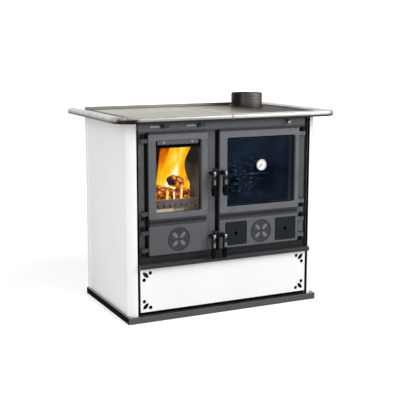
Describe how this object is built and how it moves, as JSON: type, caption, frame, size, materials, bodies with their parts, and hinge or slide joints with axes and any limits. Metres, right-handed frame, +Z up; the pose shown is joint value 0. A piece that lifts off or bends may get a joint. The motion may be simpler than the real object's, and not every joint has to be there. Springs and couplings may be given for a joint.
{
  "type": "wood cookstove",
  "caption": "Free-standing wood cookstove with a glazed firebox, an oven, an ash door, a soot door, a wood drawer and a cast hob in a polished rail.",
  "frame": {"origin": "on the floor, under the middle of the hob rail in plan", "axes": "+X to the right as seen from the front, +Y from the front to the back, +Z up"},
  "size_m": [1.028, 0.65, 0.913],
  "materials": {
    "white_enamel": "glossy vitreous enamel",
    "black_enamel": "satin black enamel",
    "grey_cast_iron": "anthracite stove paint, satin",
    "dark_insert": "dark satin paint",
    "ground_hob_plate": "ground smooth, seasoned",
    "dark_hob_frame": "ground, darker rim",
    "polished_steel_rail": "polished",
    "dark_cast_collar": "matt black stove paint",
    "raw_cast_iron": "raw casting",
    "firebrick": "rough fired clay",
    "zinc_sheet": "galvanised sheet",
    "oven_enamel": "speckled dark enamel",
    "chrome_wire": "bright plating",
    "stove_glass": "clear glass ceramic",
    "retainer_steel": "darkened steel",
    "glass_fibre_rope": "woven glass fibre",
    "nickel_fitting": "nickel plated",
    "black_grip": "black heat-proof resin",
    "thermometer_case": "bright bezel round a white dial",
    "thermometer_needle": "black needle"
  },
  "bodies": {
    "stove_body": {"plinth": "black_enamel", "side_panel_left": "white_enamel", "side_panel_right": "white_enamel", "back_panel": "zinc_sheet", "carcass_walls": "zinc_sheet", "drawer_heat_shield": "zinc_sheet", "compartment_floor": "zinc_sheet", "front_frame": "grey_cast_iron", "ledge_trim": "black_enamel", "hinge_pins": "black_enamel", "latch_keepers": "black_enamel", "firebox_partition": "zinc_sheet", "grate_frame": "raw_cast_iron", "fire_grate": "raw_cast_iron", "firebrick_lining": "firebrick", "log_guard": "raw_cast_iron", "ash_pan": "zinc_sheet", "oven_box": "oven_enamel", "oven_rack": "chrome_wire", "flue_divider": "raw_cast_iron", "hob_frame": "dark_hob_frame", "hob_plate_left": "ground_hob_plate", "hob_plate_right": "ground_hob_plate", "back_rim": "dark_hob_frame", "rail_left": "polished_steel_rail", "rail_right": "polished_steel_rail", "rail_brackets": "zinc_sheet", "flue_collar": "dark_cast_collar", "collar_bolts": "dark_cast_collar", "drawer_runners": "zinc_sheet"},
    "firebox_door_leaf": {"firebox_door": "grey_cast_iron", "firebox_glass": "stove_glass", "firebox_glass_strip": "dark_insert", "firebox_glass_retainer": "retainer_steel", "firebox_door_rope": "glass_fibre_rope"},
    "firebox_handle": {"firebox_handle_lever": "nickel_fitting", "firebox_handle_grip": "black_grip"},
    "ash_door_leaf": {"ash_door": "grey_cast_iron"},
    "ash_handle": {"ash_handle_lever": "nickel_fitting", "ash_handle_grip": "black_grip"},
    "oven_door_leaf": {"oven_door": "grey_cast_iron", "oven_glass": "stove_glass", "oven_glass_retainer": "retainer_steel", "oven_door_rope": "glass_fibre_rope", "thermometer_case": "thermometer_case"},
    "oven_handle": {"oven_handle_lever": "nickel_fitting", "oven_handle_grip": "black_grip"},
    "needle": {"thermometer_needle": "thermometer_needle"},
    "soot_door_leaf": {"soot_door": "grey_cast_iron", "soot_door_inserts": "dark_insert"},
    "soot_handle": {"soot_handle_lever": "nickel_fitting", "soot_handle_grip": "black_grip"},
    "wood_drawer": {"drawer_front": "white_enamel", "drawer_box": "zinc_sheet"},
    "left_air_slide": {"air_slide_left": "nickel_fitting"},
    "right_air_slide": {"air_slide_right": "nickel_fitting"},
    "flue_damper": {"damper_valve": "raw_cast_iron", "damper_knob": "nickel_fitting"},
    "cooking_ring": {"hob_ring": "ground_hob_plate"},
    "cooking_lid": {"hob_lid": "ground_hob_plate"}
  },
  "joints": [
    {"name": "firebox_door_hinge", "type": "hinge", "parent": "stove_body", "child": "firebox_door_leaf", "pos_m": [-0.383, -0.252, 0.6075], "axis": [0, 0, -1], "range_deg": [0, 110]},
    {"name": "firebox_handle_turn", "type": "hinge", "parent": "firebox_door_leaf", "child": "firebox_handle", "pos_m": [-0.078, -0.2588, 0.61], "axis": [0, 1, 0], "range_deg": [0, 85]},
    {"name": "ash_door_hinge", "type": "hinge", "parent": "stove_body", "child": "ash_door_leaf", "pos_m": [-0.383, -0.252, 0.342], "axis": [0, 0, -1], "range_deg": [0, 110]},
    {"name": "ash_handle_turn", "type": "hinge", "parent": "ash_door_leaf", "child": "ash_handle", "pos_m": [-0.078, -0.2588, 0.342], "axis": [0, 1, 0], "range_deg": [0, 85]},
    {"name": "oven_door_hinge", "type": "hinge", "parent": "stove_body", "child": "oven_door_leaf", "pos_m": [0.375, -0.252, 0.6075], "axis": [0, 0, 1], "range_deg": [0, 110]},
    {"name": "oven_handle_turn", "type": "hinge", "parent": "oven_door_leaf", "child": "oven_handle", "pos_m": [-0.025, -0.2588, 0.61], "axis": [0, -1, 0], "range_deg": [0, 85]},
    {"name": "thermometer_needle_turn", "type": "hinge", "parent": "oven_door_leaf", "child": "needle", "pos_m": [0.1625, -0.2595, 0.631], "axis": [0, 1, 0], "range_deg": [0, 270]},
    {"name": "soot_door_hinge", "type": "hinge", "parent": "stove_body", "child": "soot_door_leaf", "pos_m": [0.375, -0.252, 0.342], "axis": [0, 0, 1], "range_deg": [0, 110]},
    {"name": "soot_handle_turn", "type": "hinge", "parent": "soot_door_leaf", "child": "soot_handle", "pos_m": [-0.025, -0.2588, 0.342], "axis": [0, -1, 0], "range_deg": [0, 85]},
    {"name": "wood_drawer_slide", "type": "slide", "parent": "stove_body", "child": "wood_drawer", "axis": [0, -1, 0], "range_m": [0, 0.4]},
    {"name": "left_air_slide_travel", "type": "slide", "parent": "stove_body", "child": "left_air_slide", "axis": [1, 0, 0], "range_m": [0, 0.015]},
    {"name": "right_air_slide_travel", "type": "slide", "parent": "stove_body", "child": "right_air_slide", "axis": [1, 0, 0], "range_m": [0, 0.015]},
    {"name": "flue_damper_pull", "type": "slide", "parent": "stove_body", "child": "flue_damper", "axis": [0, -1, 0], "range_m": [0, 0.06]},
    {"name": "cooking_ring_lift", "type": "slide", "parent": "stove_body", "child": "cooking_ring", "axis": [0, 0, 1], "range_m": [0, 0.15]},
    {"name": "cooking_lid_lift", "type": "slide", "parent": "cooking_ring", "child": "cooking_lid", "axis": [0, 0, 1], "range_m": [0, 0.15]}
  ]
}
